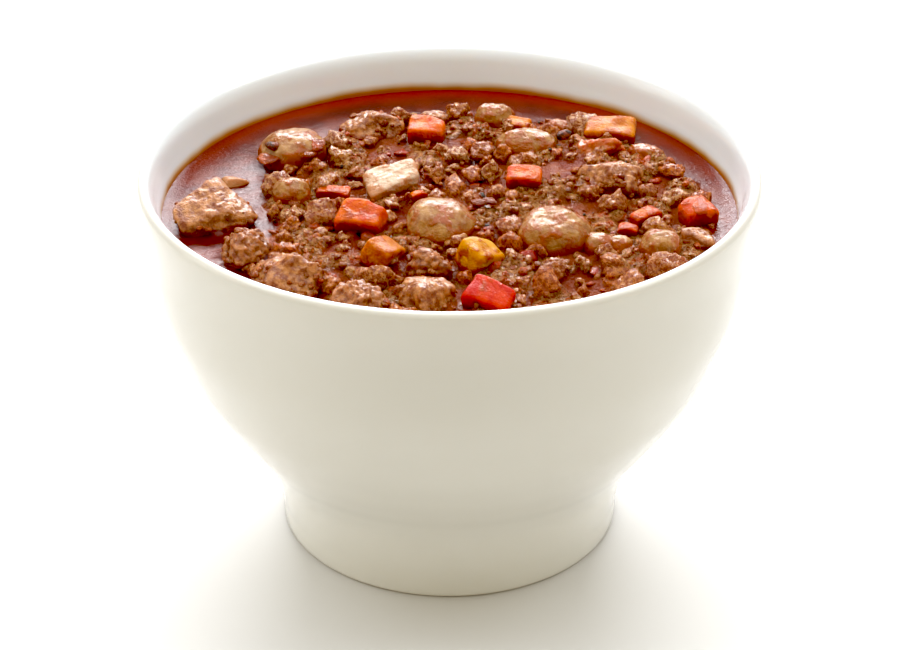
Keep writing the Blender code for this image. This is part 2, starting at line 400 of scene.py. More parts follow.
SAUCE_CELLS = 290
HEAP_MIDDLE = (8.0, -6.0)
HEAP_REACH = 52.0
BITES = [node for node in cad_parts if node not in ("bowl", "chili")]
SAUCE_SIDE = (
    (INNER_RADIUS - 0.1, SAUCE_LEVEL - 1.5),
    (INNER_RADIUS - 1.9, SAUCE_LEVEL - 12),
    (55.2, 48.0),
    (47.6, 36.2),
    (37.6, 25.4),
    (24.8, 17.2),
)
SAUCE_BOTTOM = 13.7
CELLS_BELOW = 4096


def lattice(cell, seed):
    """A random number from 0 to 1 for each whole-number cell, the same in every run: its
    three indices are multiplied by large odd numbers, added, and mixed by shifts."""
    cell = cell.astype(np.uint64)
    mixed = cell[..., 0] * np.uint64(374761393) + cell[..., 1] * np.uint64(668265263)
    mixed += cell[..., 2] * np.uint64(2147483647) + np.uint64(seed * 1274126177)
    mixed = (mixed ^ (mixed >> np.uint64(13))) * np.uint64(1274126177)
    return ((mixed ^ (mixed >> np.uint64(16))) & np.uint64(0xFFFF)) / 65535.0


def grain(points, size, seed):
    """Soft unevenness from -1 to 1: a random number at each corner of a lattice of this
    size, blended across each cell by a smooth step. The cells are counted from far below
    the origin, so that no index is negative."""
    at = points / size
    low = np.floor(at)
    share = at - low
    share = share * share * (3 - 2 * share)
    total = 0
    for corner in np.ndindex(2, 2, 2):
        weight = np.prod(np.where(corner, share, 1 - share), axis=-1)
        total = total + weight * lattice((low + corner + CELLS_BELOW).astype(int), seed)
    return 2 * total - 1


def pebbles(points, size, seed):
    """Packed rounded bumps: one less the distance to the nearest of a set of points
    scattered one to each lattice cell of this size, so 1 on top and 0 between them."""
    at = points / size
    low = np.floor(at)
    nearest = np.full(at.shape[:-1], 9.0)
    for step in np.ndindex(3, 3, 3):
        cell = low + step - 1
        key = (cell + CELLS_BELOW).astype(int)
        jitter = np.stack([lattice(key, seed + 17 * axis) for axis in range(3)], axis=-1)
        nearest = np.minimum(nearest, np.linalg.norm(at - cell - 0.1 - 0.8 * jitter, axis=-1))
    return np.clip(1 - nearest, 0, 1)


def soft_step(value, low, high):
    """0 below low and 1 above high, with a smooth S between them."""
    share = np.clip((value - low) / (high - low), 0, 1)
    return share * share * (3 - 2 * share)


def disk_grid(cells, radius):
    """A square grid pressed into a disk of this radius: each ring of the square becomes a
    circle, and a place along the ring's side becomes an even share of a quarter turn."""
    u, v = np.meshgrid(np.linspace(-1, 1, cells + 1), np.linspace(-1, 1, cells + 1))
    wide = np.abs(u) > np.abs(v)
    reach = np.where(wide, u, v)
    share = np.where(wide, v, u) / np.where(reach == 0, 1, reach)
    turn = np.where(wide, share * np.pi / 4, np.pi / 2 - share * np.pi / 4)
    return radius * reach * np.cos(turn), radius * reach * np.sin(turn)


def heap_share(x, y):
    """How thick with mince the stew is at a place, from 0 in the pools to 1 in the heap:
    the distance from the heap's middle, made uneven, against the heap's reach."""
    flat = np.stack([x, y, 0 * x], axis=-1)
    away = np.hypot((x - HEAP_MIDDLE[0]) / 0.91, y - HEAP_MIDDLE[1])
    return soft_step(HEAP_REACH + 3.5 * grain(flat, 9, 3) + 1.5 * grain(flat, 3.5, 4) - away, 0, 5)


def packed_share(x, y):
    """Where in the heap the mince shows, from 0 under smooth sauce to 1 among crumbs: two
    sizes of soft unevenness added and cut between two levels."""
    flat = np.stack([x, y, 0 * x], axis=-1)
    return soft_step(grain(flat, 7, 5) + 0.5 * grain(flat, 3, 6), -0.25, 0.55)


def bite_gap(x, y):
    """How far a place lies outside the nearest larger bite, in millimetres: its distance
    from each bite's middle less the bite's reach, taking the smallest."""
    nearest = np.full(np.shape(x), 99.0)
    for node in BITES:
        low, high = (np.array(corner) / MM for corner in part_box(node))
        middle, half = (low + high) / 2, (high - low) / 2
        away = np.hypot((x - middle[0]) / half[0], (y - middle[1]) / half[1]) - 1
        nearest = np.minimum(nearest, away * min(half[0], half[1]))
    return nearest


def scattered(tries, share_at, margin, seed):
    """Places scattered over the disk inside the bowl: tried at random, and kept with a
    chance equal to the share that a function gives there."""
    random = np.random.default_rng(seed)
    reach = (INNER_RADIUS - margin) * np.sqrt(random.random(tries))
    turn = random.random(tries) * 2 * np.pi
    x, y = reach * np.cos(turn), reach * np.sin(turn)
    kept = random.random(tries) < share_at(x, y)
    return x[kept], y[kept], random


def spaced(x, y, size, closeness):
    """Which of a row of places to keep so that none lies nearer to an earlier one than
    this share of their two half sizes added."""
    kept = []
    for index in range(len(x)):
        near = np.array(kept, int)
        reach = closeness * (size[near] + size[index]) / 2
        if (np.hypot(x[near] - x[index], y[near] - y[index]) > reach).all():
            kept.append(index)
    return np.array(kept)


def sizes_between(span, count, power, random):
    """Random sizes from a span's low end to its high end: a higher power of the random
    share makes more of them small."""
    return span[0] + (span[1] - span[0]) * random.random(count) ** power


def lump_share(x, y):
    """The chance of a small lump at a place: in the heap, clear of the larger bites, and
    half as likely on the smoother right side."""
    return heap_share(x, y) * (bite_gap(x, y) > 1.0) * (1 - 0.55 * soft_step(x, 18, 30))


LUMP_TRIES = 1000
LUMP_SIZES = (2.4, 7.5)
lump_x, lump_y, random = scattered(LUMP_TRIES, lump_share, 5.0, 61)
lump_size = sizes_between(LUMP_SIZES, len(lump_x), 2.2, random)
kept = spaced(lump_x, lump_y, lump_size, 1.0)
lump_x, lump_y, lump_size = lump_x[kept], lump_y[kept], lump_size[kept]


def sauce_height(x, y):
    """The sauce's height: its level, plus a low dome, soft swells and four sizes of mince
    bumps where it is thick, plus a curved climb at the wall and around every bite and
    small lump."""
    flat = np.stack([x, y, 0 * x], axis=-1)
    sway = np.stack([grain(flat, 3.0, 31), grain(flat, 3.0, 32), 0 * x], axis=-1)
    bent = flat + 1.1 * sway + 0.4 * np.roll(sway, 1, axis=-1)
    away = np.hypot(x - HEAP_MIDDLE[0], y - HEAP_MIDDLE[1]) / (HEAP_REACH + 6)
    dome = np.sqrt(np.clip(1 - away**2, 0, 1))
    lumps = 1.4 * pebbles(bent, 4.6, 7) + 1.2 * np.abs(grain(bent, 2.6, 8))
    lumps = lumps + 0.6 * pebbles(bent, 1.6, 12) + 0.3 * grain(bent, 0.9, 14)
    swell = 0.8 * grain(flat, 11, 9) + 0.45 * grain(flat, 4.5, 10)
    close = np.exp(-np.clip(bite_gap(x, y), 0, None) / 2.5)
    height = 0.5 * dome + swell + packed_share(x, y) * lumps * (1 - 0.65 * close)
    height = SAUCE_LEVEL + heap_share(x, y) * (height + 0.1 * grain(flat, 1.3, 11))
    wall = INNER_RADIUS - np.hypot(x, y)
    height = height + 0.2 * np.exp(-np.clip(wall, 0, None) / 0.7)
    for node in BITES:
        low, high = (np.array(corner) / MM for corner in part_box(node))
        middle, half = (low + high) / 2, (high - low) / 2
        gap = np.hypot((x - middle[0]) / half[0], (y - middle[1]) / half[1]) - 0.9
        skirt = 0.7 + 0.8 * grain(flat, 2.5, 13)
        height = height + skirt * np.exp(-np.clip(gap * min(half[0], half[1]), -0.5, None) / 1.3)
    climb = 0 * x
    for left, back, size in zip(lump_x, lump_y, lump_size):
        away = np.hypot(x - left, y - back) / (0.42 * size)
        climb = np.maximum(climb, 0.26 * size * np.exp(-(np.clip(away, 0.6, None) ** 2 - 0.36)))
    return height + climb * (0.9 + 0.5 * grain(flat, 1.8, 15))


def sauce_core():
    """The sauce as one closed form: the uneven top on a disk grid, then its edge carried
    down the inside of the bowl in shrinking rings to the middle of the floor."""
    x, y = disk_grid(SAUCE_CELLS, INNER_RADIUS + 0.35)
    top = np.stack([x, y, sauce_height(x, y)], axis=-1)
    side = SAUCE_CELLS + 1
    index = np.arange(side * side).reshape(side, side)
    rim = np.concatenate([index[0, :-1], index[:-1, -1], index[-1, :0:-1], index[:0:-1, 0]])
    points = [top.reshape(-1, 3)]
    faces = np.stack(
        [index[:-1, :-1], index[:-1, 1:], index[1:, 1:], index[1:, :-1]], axis=-1
    ).reshape(-1, 4)
    faces = faces.tolist()
    edge = top.reshape(-1, 3)[rim]
    turn = np.arctan2(edge[:, 1], edge[:, 0])
    before = rim
    start = side * side
    for radius, height in SAUCE_SIDE:
        ring = np.stack([radius * np.cos(turn), radius * np.sin(turn), height + 0 * turn], axis=-1)
        points.append(ring)
        after = start + np.arange(len(rim))
        faces += np.stack(
            [before, after, np.roll(after, -1), np.roll(before, -1)], axis=-1
        ).tolist()
        before, start = after, start + len(rim)
    points.append(np.array([[0, 0, SAUCE_BOTTOM]]))
    faces += np.stack([before, 0 * before + start, np.roll(before, -1)], axis=-1).tolist()
    mesh = bpy.data.meshes.new("sauce")
    mesh.from_pydata((np.concatenate(points) * MM).tolist(), [], faces)
    mesh.shade_smooth()
    share = mesh.attributes.new("thickness", "FLOAT", "POINT")
    values = np.zeros(len(mesh.vertices), np.float32)
    values[: side * side] = (heap_share(x, y) * (0.3 + 0.7 * packed_share(x, y))).reshape(-1)
    share.data.foreach_set("value", values)
    return mesh


def stew_sauce():
    """Oily brown-red sauce: clear and dark where it lies flat, paler and grainy where
    mince thickens it, with orange and tan patches, redder with oil at the wall."""
    made, tree, shader, place = new_finish(
        "chili sauce",
        IOR=1.42,
        Specular_IOR_Level=0.32,
        Subsurface_Weight=0.25,
        Subsurface_Radius=(0.0035, 0.0012, 0.0005),
        Subsurface_Scale=1.0,
    )
    share = add_node(tree, "ShaderNodeAttribute", attribute_name="thickness").outputs["Fac"]
    split = add_node(tree, "ShaderNodeSeparateXYZ", {0: place})
    flat = add_node(tree, "ShaderNodeCombineXYZ", {"X": split.outputs["X"], "Y": split.outputs["Y"]})
    reach = add_node(tree, "ShaderNodeVectorMath", {0: flat.outputs[0]}, operation="LENGTH")
    wide = noise(tree, place, 7, 3)
    cloud = ranged(tree, wide, 0.35, 0.65)
    liquid = blended(tree, cloud, (0.10, 0.007, 0.001, 1), (0.16, 0.017, 0.002, 1))
    fine = noise(tree, place, 0.9, 4, 0.7)
    speckle = ranged(tree, fine, 0.34, 0.62)
    mince = blended(tree, speckle, (0.21, 0.035, 0.007, 1), (0.66, 0.32, 0.13, 1))
    warm = ranged(tree, noise(tree, place, 4.5, 2, 0.5, 0.6), 0.56, 0.66)
    mince = blended(tree, combined(tree, "MULTIPLY", warm, 0.7), mince, (0.50, 0.06, 0.005, 1))
    thicker = blended(tree, cloud, (0.21, 0.030, 0.006, 1), (0.30, 0.070, 0.018, 1))
    liquid = blended(tree, ranged(tree, share, 0.0, 0.3), liquid, thicker)
    colour = blended(tree, ranged(tree, share, 0.3, 0.8), liquid, mince)
    away = reach.outputs["Value"]
    near_wall = ranged(tree, away, (INNER_RADIUS - 7) * MM, (INNER_RADIUS - 0.6) * MM)
    back = ranged(tree, split.outputs["Y"], 0.0 * MM, 50 * MM, 0.25, 1.0)
    oily = combined(tree, "MULTIPLY", near_wall, back)
    colour = blended(tree, oily, colour, (0.25, 0.018, 0.001, 1))
    tree.links.new(colour, shader.inputs["Base Color"])
    rough = ranged(tree, share, 0.35, 0.9, 0.05, 0.18)
    tree.links.new(rough, shader.inputs["Roughness"])
    relief = ranged(tree, noise(tree, place, 0.9, 4, 0.65), 0.25, 0.75)
    rugged = combined(tree, "MULTIPLY", relief, ranged(tree, share, 0.15, 0.6, 0.08, 1.0))
    bumped(tree, shader, rugged, 1.0, 1.0)
    return made


sauce = add_piece("sauce", sauce_core(), stew_sauce())
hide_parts("chili")

# ---------------------------------------------------------------- beef
# Lean beef cut into chunks of ten to fifteen millimetres and stewed until the cut faces
# turn rough and fibrous. Each lies half in the sauce, which coats its lower half.

FORM_ROWS, FORM_COLUMNS = 56, 76
GOLDEN_ANGLE = 2.39996
skins = []
COAT = (0.26, 0.045, 0.010, 1)
BEEF = {
    "beef_left": ((14.5, 15, 10), (20, 0, 0), 1),
    "beef_front_left": ((11.5, 15, 10), (35, 5, 0), 2),
    "beef_front": ((10.5, 11, 8.5), (10, 0, 8), 3),
    "beef_back_left": ((13.5, 10.5, 7), (8, 0, 0), 4),
    "beef_right": ((14, 12, 8), (-25, 0, 5), 5),
}


def ball(rows, columns):
    """Directions on a grid that closes at two poles: rows from the top to the bottom,
    columns round it."""
    polar = np.linspace(0, np.pi, rows)[:, None]
    turn = np.arange(columns) / columns * 2 * np.pi
    return np.stack(
        [np.sin(polar) * np.cos(turn), np.sin(polar) * np.sin(turn), np.cos(polar) + 0 * turn],
        axis=-1,
    )


def turned_about(points, turn, pitch, roll):
    """Points rolled about X, pitched about Y and turned about Z, by angles in degrees."""
    x, y, z = points[..., 0], points[..., 1], points[..., 2]
    roll, pitch, turn = np.radians(roll), np.radians(pitch), np.radians(turn)
    y, z = y * np.cos(roll) - z * np.sin(roll), y * np.sin(roll) + z * np.cos(roll)
    x, z = x * np.cos(pitch) + z * np.sin(pitch), z * np.cos(pitch) - x * np.sin(pitch)
    x, y = x * np.cos(turn) - y * np.sin(turn), x * np.sin(turn) + y * np.cos(turn)
    return np.stack([x, y, z], axis=-1)


def cut_faces(random, count, *shape):
    """Flat cuts that face all round a lump: each has a direction, spread over a ball by
    the golden angle and jostled a little, and its own distance from the middle."""
    order = np.arange(count)
    height = 1 - (2 * order + 1) / count
    turn = order * GOLDEN_ANGLE + random.random((*shape, 1)) * 7
    flat = np.sqrt(1 - height**2)
    facing = np.stack([flat * np.cos(turn), flat * np.sin(turn), height + 0 * turn], axis=-1)
    facing = facing + 0.45 * (random.random(facing.shape) - 0.5)
    facing /= np.linalg.norm(facing, axis=-1, keepdims=True)
    return facing / (0.74 + 0.26 * random.random((*facing.shape[:-1], 1)))


def cut_form(directions, faces, power):
    """A lump with flat cuts: in each direction it reaches out until it meets a face, and
    the faces are joined by a power mean, so that a lower power rounds the edges."""
    facing = np.clip((directions[..., None, :] * faces).sum(-1), 0, None)
    return directions / ((facing**power).sum(-1) ** (1 / power))[..., None]


def roughened(points, directions, depth, seed):
    """Torn and fibrous relief: soft swellings, packed grains and fine unevenness added
    along each direction, this many millimetres deep."""
    at = points + 53.0 * seed
    push = 0.8 * grain(at, 3.4, seed) + 0.45 * (pebbles(at, 2.1, seed + 1) - 0.45)
    push = push - 0.9 * np.abs(grain(at, 2.2, seed + 4))
    push = push + 0.8 * np.abs(grain(at, 1.2, seed + 2)) + 0.3 * grain(at, 0.6, seed + 3)
    return points + directions * (depth * push)[..., None]


def set_down(points, node, turns):
    """A form turned and laid with the middle of its span in the middle of a node's box."""
    low, high = (np.array(corner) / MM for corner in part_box(node))
    laid = turned_about(points, *turns)
    middle = (laid.max(axis=(0, 1)) + laid.min(axis=(0, 1))) / 2
    return laid - middle + (low + high) / 2


def cooked_flesh(
    name, deep, pale, coat, spot, sheen=0.3, depth=0.25, wet=0.35, veil=0.5, glow=0.3, gloss=0.3
):
    """Stewed food: two tones of flesh mottled together, a coat of sauce in patches and
    round its foot, and a wet skin. The tones, the coat's colour and share, the size of
    the mottling, the roughness, the relief, the wetness, the light let through and the
    strength of its shine differ from food to food."""
    made, tree, shader, place = new_finish(
        name,
        IOR=1.42,
        Specular_IOR_Level=gloss,
        Subsurface_Weight=glow,
        Subsurface_Radius=(0.003, 0.0013, 0.0006),
        Subsurface_Scale=1.0,
        Coat_Weight=wet,
        Coat_Roughness=0.14,
    )
    mottle = noise(tree, place, spot, 3, 0.6)
    flesh = blended(tree, ranged(tree, mottle, 0.34, 0.66), deep, pale)
    height = add_node(tree, "ShaderNodeSeparateXYZ", {0: place}).outputs["Z"]
    patch = noise(tree, place, 3.2, 3, 0.55, 0.4)
    foot = ranged(tree, height, (SAUCE_LEVEL + 3.6) * MM, (SAUCE_LEVEL + 0.4) * MM, 0.0, 0.45)
    cover = combined(tree, "ADD", patch, foot)
    share = ranged(tree, cover, 0.92 - 0.4 * veil, 1.12 - 0.4 * veil)
    colour = blended(tree, share, flesh, coat)
    tree.links.new(colour, shader.inputs["Base Color"])
    rough = ranged(tree, share, 0, 1, sheen, 0.5 * sheen)
    tree.links.new(rough, shader.inputs["Roughness"])
    thick = combined(tree, "MULTIPLY", share, 0.7)
    thick = combined(tree, "ADD", noise(tree, place, 0.7, 3, 0.6), thick)
    bumped(tree, shader, thick, depth + 0.2, 0.8)
    return made


def add_bite(node, points, finish, slot):
    """One bite put in the scene in place of its node. On meat, the places where crumbs
    can cling are kept: those above the sauce, and more of the low ones than the high."""
    skin = points[1:-1].reshape(-1, 3)
    raised = (skin[:, 2] - SAUCE_LEVEL) / (skin[:, 2].max() - SAUCE_LEVEL)
    patch = grain(skin, 3.0, 77) > 1.6 * raised - 0.7
    if slot in ("beef", "mince"):
        skins.append(skin[(raised > 0.1) & patch])
    made = add_piece(node + "_cooked", closed_mesh(node + "_cooked", points[None]), finish)
    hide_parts(node)


beef_finish = cooked_flesh(
    "stewed beef",
    (0.23, 0.055, 0.012, 1),
    (0.54, 0.23, 0.075, 1),
    COAT,
    1.7,
    sheen=0.34,
    depth=0.35,
)
for node, (size, turns, seed) in BEEF.items():
    form = ball(FORM_ROWS, FORM_COLUMNS)
    faces = cut_faces(np.random.default_rng(seed), 9)
    chunk = cut_form(form, faces, 9) * np.array(size) / 2 * 1.05
    add_bite(node, set_down(roughened(chunk, form, 0.55, seed), node, turns), beef_finish, "beef")

# ---------------------------------------------------------------- mince clumps
# Clumps of minced beef that stayed together in the pot: knots of grains two millimetres
# across, rough all over.

CLUMPS = {
    "mince_left": ((10, 11.5, 9), (-30, 0, 0), 11),
    "mince_front": ((8, 8.5, 8), (0, 0, 0), 12),
    "mince_front_left": ((10.5, 9.5, 8.5), (-15, 0, 0), 13),
}

mince_finish = cooked_flesh(
    "stewed mince",
    (0.22, 0.055, 0.014, 1),
    (0.50, 0.20, 0.065, 1),
    COAT,
    1.5,
    depth=0.35,
    wet=0.4,
)
for node, (size, turns, seed) in CLUMPS.items():
    form = ball(FORM_ROWS, FORM_COLUMNS)
    faces = cut_faces(np.random.default_rng(seed), 10)
    clump = cut_form(form, faces, 6) * np.array(size) / 2 * 1.05
    add_bite(node, set_down(roughened(clump, form, 1.0, seed), node, turns), mince_finish, "mince")

# ---------------------------------------------------------------- beans
# Plump pale beans, boiled soft in the sauce, which clings to them in patches. The skin is
# faintly creased, and the two ends curl a little to one side.

BEANS = {
    "bean_back_left": ((14.5, 12.5, 9.5), (18, -6, 0), 21),
    "bean_left": ((7.5, 6.5, 7), (-20, 0, 0), 22),
    "bean_back": ((8.4, 7, 6.5), (-12, 8, 0), 23),
    "bean_back_right": ((13, 9, 7), (-8, 0, 0), 24),
    "bean_centre": ((14.5, 14, 10.5), (-20, 8, 0), 25),
    "bean_right": ((15.5, 14, 10.5), (-30, 0, 0), 26),
    "bean_front_right": ((8, 6.8, 6.5), (-12, 0, 0), 27),
}


def bean_form(size, seed):
    """A bean: a ball drawn out to a little over its size with its flat sides fuller, its
    ends bent to one side by the square of their distance, and soft creases in the skin."""
    form = ball(FORM_ROWS, FORM_COLUMNS)
    full = np.sign(form) * np.abs(form) ** np.array([0.92, 0.92, 0.85])
    points = full * np.array(size) / 2 * np.array([1.04, 1.08, 1.14])
    points[..., 1] += 0.12 * size[1] * (points[..., 0] * 2 / size[0]) ** 2
    at = points + 31.0 * seed
    push = 0.5 * grain(at, 4.0, seed) + 0.16 * grain(at, 1.5, seed) + 0.12 * grain(at, 0.8, seed)
    return points + form * push[..., None]


bean_finish = cooked_flesh(
    "boiled bean",
    (0.32, 0.12, 0.024, 1),
    (0.47, 0.24, 0.072, 1),
    (0.36, 0.085, 0.012, 1),
    2.4,
    depth=0.15,
    veil=1.2,
)
for node, (size, turns, seed) in BEANS.items():
    add_bite(node, set_down(bean_form(size, seed), node, turns), bean_finish, "bean")

# ---------------------------------------------------------------- potato
# One slanted block of boiled potato, cream white and soft at its cut edges, with sauce
# clinging to it in patches.

WEDGE_SIZE = (12, 8, 4.4)
WEDGE_TURNS = (28, -10, 6)
WEDGE_SEED = 34


def dice_form(size, seed):
    """A cut die: each direction reaches the nearest of six sides, joined by a high
    power mean so the edges are slightly rounded, then bowed up along its length, narrower
    on the cut side, and softly uneven."""
    form = ball(FORM_ROWS, FORM_COLUMNS)
    box = form / ((np.abs(form) ** 9).sum(-1) ** (1 / 9))[..., None]
    points = box * np.array(size) / 2
    narrow = np.where(box[..., 2] < 0, 1 + 0.14 * box[..., 2], 1)
    skew = 1 + 0.16 * box[..., 0] * np.cos(seed)
    points[..., 0] *= narrow
    points[..., 1] *= narrow * skew
    points[..., 2] += 0.5 * (1 - box[..., 0] ** 2)
    return points + form * (0.4 * grain(points + 17.0 * seed, 2.8, seed))[..., None]


form = ball(FORM_ROWS, FORM_COLUMNS)
wedge = dice_form(WEDGE_SIZE, WEDGE_SEED)
wedge[..., 0] += 0.25 * wedge[..., 1]
wedge = roughened(wedge, form, 0.18, WEDGE_SEED)
potato_finish = cooked_flesh(
    "boiled potato",
    (0.54, 0.32, 0.18, 1),
    (0.70, 0.52, 0.37, 1),
    (0.50, 0.22, 0.09, 1),
    2.6,
    sheen=0.4,
    depth=0.12,
    wet=0.2,
    veil=1.15,
)
add_bite("potato_centre", set_down(wedge, "potato_centre", WEDGE_TURNS), potato_finish, "potato")

# ---------------------------------------------------------------- tomato
# A piece of peeled tomato, stewed until it folds and turns translucent red-orange. Oil
# from the sauce makes it shine.

TOMATO_SIZE = (10, 8.5, 6.5)
TOMATO_TURNS = (-12, 0, 0)
TOMATO_SEED = 35

form = ball(FORM_ROWS, FORM_COLUMNS)
faces = cut_faces(np.random.default_rng(TOMATO_SEED), 8)
fold = cut_form(form, faces, 6) * np.array(TOMATO_SIZE) / 2
fold = roughened(fold, form, 0.8, TOMATO_SEED)
tomato_finish = cooked_flesh(
    "stewed tomato",
    (0.44, 0.08, 0.012, 1),
    (0.54, 0.18, 0.04, 1),
    (0.40, 0.06, 0.012, 1),
    2.2,
    sheen=0.2,
    depth=0.2,
    wet=0.4,
    veil=0.4,
    glow=0.5,
)
add_bite("tomato_right", set_down(fold, "tomato_right", TOMATO_TURNS), tomato_finish, "tomato")

# ---------------------------------------------------------------- diced peppers
# Bell peppers of four colours cut into small dice. The skin side is smooth and bowed,
# the cut side is a little narrower, and the cooked flesh lets light through.

PEPPERS = {
    "pepper_orange_back": ("pepper_orange", (8, 6.5, 5), (-6, 4, 8), 41),
    "pepper_orange_left": ("pepper_orange", (9.5, 7, 5.5), (-18, 0, 16), 42),
    "pepper_orange_mid": ("pepper_orange", (7.5, 5.5, 4.6), (-6, 0, 12), 43),
    "pepper_orange_right": ("pepper_orange", (7, 6, 5), (25, 0, 6), 44),
    "pepper_amber_back": ("pepper_amber", (11.5, 7, 5), (-6, 0, 10), 45),
    "pepper_amber_left": ("pepper_amber", (8, 6, 5.5), (58, 16, 18), 46),
    "pepper_yellow_front": ("pepper_yellow", (8.5, 6.5, 5.8), (40, 20, 16), 47),
    "pepper_red_front": ("pepper_red", (9.5, 6.5, 5.5), (-24, 12, 18), 48),
}
PEPPER_TONES = {
    "pepper_orange": ((0.52, 0.055, 0.0, 1), (0.66, 0.14, 0.001, 1)),
    "pepper_amber": ((0.44, 0.10, 0.0, 1), (0.58, 0.20, 0.002, 1)),
    "pepper_yellow": ((0.54, 0.20, 0.0, 1), (0.64, 0.32, 0.006, 1)),
    "pepper_red": ((0.46, 0.012, 0.001, 1), (0.60, 0.045, 0.001, 1)),
}

pepper_finishes = {
    kind: cooked_flesh(
        kind + " flesh",
        deep,
        pale,
        (0.36, 0.06, 0.012, 1),
        3.0,
        depth=0.1,
        wet=0.06,
        veil=1.1,
        glow=0.6,
        gloss=0.2,
    )
    for kind, (deep, pale) in PEPPER_TONES.items()
}
for node, (kind, size, turns, seed) in PEPPERS.items():
    add_bite(node, set_down(dice_form(size, seed), node, turns), pepper_finishes[kind], kind)

# ---------------------------------------------------------------- small pieces
# Smaller beans, beef bits, a slip of onion and scraps of pepper that lie between the
# larger bites: each is at most eight millimetres and lies half sunk where the ladle
# left it.

SMALL_PIECES = (
    ("beef_back", "beef", (-4, 42.5), 0.2, (8, 6, 5.5), (5, 0, 0), 51),
    ("bean_far_back", "bean", (25, 38), -0.2, (6.5, 5, 5), (-20, 0, 0), 52),
    ("bean_far_right", "bean", (42.5, 23.5), 0.2, (7.5, 6, 5.5), (-15, 0, 0), 53),
    ("bean_mid_right", "bean", (30, -20.5), 0.4, (6.5, 5.5, 5.5), (-30, 0, 0), 54),
    ("bean_mid_far_right", "bean", (34.5, -20), 0.4, (6, 5, 5), (20, 0, 0), 55),
    ("beef_far_right", "beef", (50.5, -17.5), 0.6, (6, 7.5, 6), (30, 0, 0), 56),
    ("beef_mid_left", "beef", (-33.5, 8), 0.2, (7.5, 6, 5.5), (30, 0, 0), 57),
    ("onion_left", "potato", (-46.5, 11), -0.5, (6, 5, 3.6), (10, 0, 4), 58),
    ("pepper_scrap_small", "pepper_orange", (36.6, -14.5), 1.3, (4.2, 2.8, 2.4), (-10, 0, 6), 61),
    ("pepper_scrap_right", "pepper_orange", (40.5, -8), 1.2, (6.5, 3, 2.6), (38, 0, 10), 62),
    ("pepper_scrap_left", "pepper_orange", (-24.5, 3), 1.3, (7, 3, 2.6), (-8, 0, 10), 63),
    ("pepper_scrap_back", "pepper_amber", (14.5, 38), 1.2, (7.5, 3.6, 2.8), (-22, 0, 14), 64),
    ("pepper_scrap_middle", "pepper_orange", (-6.5, 1), 1.6, (3.6, 2.2, 2), (20, 0, 0), 65),
)


def put_down(points, x, y, lift, turns):
    """A form turned and laid with its middle this far above the sauce level."""
    return turned_about(points, *turns) + np.array([x, y, SAUCE_LEVEL + lift])


for name, kind, (x, y), lift, size, turns, seed in SMALL_PIECES:
    if kind == "bean":
        points, finish = bean_form(size, seed), bean_finish
    elif kind.startswith("pepper"):
        points, finish = dice_form(size, seed), pepper_finishes[kind]
    else:
        form = ball(FORM_ROWS // 2, FORM_COLUMNS // 2)
        chunk = cut_form(form, cut_faces(np.random.default_rng(seed), 8), 8) * np.array(size) / 2
        points = roughened(chunk, form, 0.5 if kind == "beef" else 0.15, seed)
        finish = beef_finish if kind == "beef" else potato_finish
    mesh = closed_mesh(name, put_down(points, x, y, lift, turns)[None])
    add_piece(name, mesh, finish)

# ---------------------------------------------------------------- small lumps
# Bits of beef, bean and tomato of two to seven millimetres that broke off in the pot.
# Each is rough, lies half sunk, and keeps clear of the larger bites.

LUMP_ROWS, LUMP_COLUMNS = 18, 26


def toned(mesh, tones):
    """Gives every form of a mesh its own number from 0 to 1, for its colour."""
    tone = mesh.attributes.new("tone", "FLOAT", "POINT")
    each = len(mesh.vertices) // len(tones)
    tone.data.foreach_set("value", np.repeat(tones, each).astype(np.float32))
    return mesh


def loose_bits(name, middle, size, rows, columns, rough, flatness, random):
    """Loose bits: each a small form with flat cuts of its own, stretched, flattened,
    roughened, turned at random and put with its middle in its own place."""
    count = len(size)
    form = ball(rows, columns)[None]
    points = cut_form(form, cut_faces(random, 8, count, 1, 1), 7)
    stretch = 0.5 * size[:, None] * (0.75 + 0.5 * random.random((count, 3)))
    stretch[:, 2] *= flatness
    points = points * stretch[:, None, None]
    apart = 11.0 * np.arange(count)[:, None, None, None]
    points = roughened(points + apart, form, rough, 71) - apart
    angles = random.random((3, count, 1, 1)) * np.array([360, 50, 50])[:, None, None, None]
    points = turned_about(points, angles[0], angles[1] - 25, angles[2] - 25)
    return toned(closed_mesh(name, points + middle[:, None, None]), random.random(count))


def bit_finish(name, tones, sheen, wet, spot, veil=0.6):
    """Loose bits of several colours: each bit's own number picks its colour from a row of
    tones, and a fine mottling of sauce covers this share of it."""
    made, tree, shader, place = new_finish(
        name,
        IOR=1.42,
        Roughness=sheen,
        Specular_IOR_Level=0.35,
        Subsurface_Weight=0.25,
        Subsurface_Radius=(0.002, 0.0009, 0.0005),
        Subsurface_Scale=1.0,
        Coat_Weight=wet,
        Coat_Roughness=0.1,
    )
    tone = add_node(tree, "ShaderNodeAttribute", attribute_name="tone").outputs["Fac"]
    ramp = add_node(tree, "ShaderNodeValToRGB", {0: tone})
    stops = ramp.color_ramp.elements
    for index in range(len(tones) - 2):
        stops.new((index + 1) / (len(tones) - 1))
    for stop, colour in zip(stops, tones):
        stop.color = colour
    mottle = noise(tree, place, spot, 4, 0.7)
    spots = ranged(tree, mottle, 0.15 + 0.5 * veil, 0.25 + 0.5 * veil, 0.9, 0.0)
    colour = blended(tree, spots, ramp.outputs[0], (0.30, 0.055, 0.010, 1))
    tree.links.new(colour, shader.inputs["Base Color"])
    bumped(tree, shader, noise(tree, place, 0.7, 4, 0.65), 1.1, 1.0)
    return made


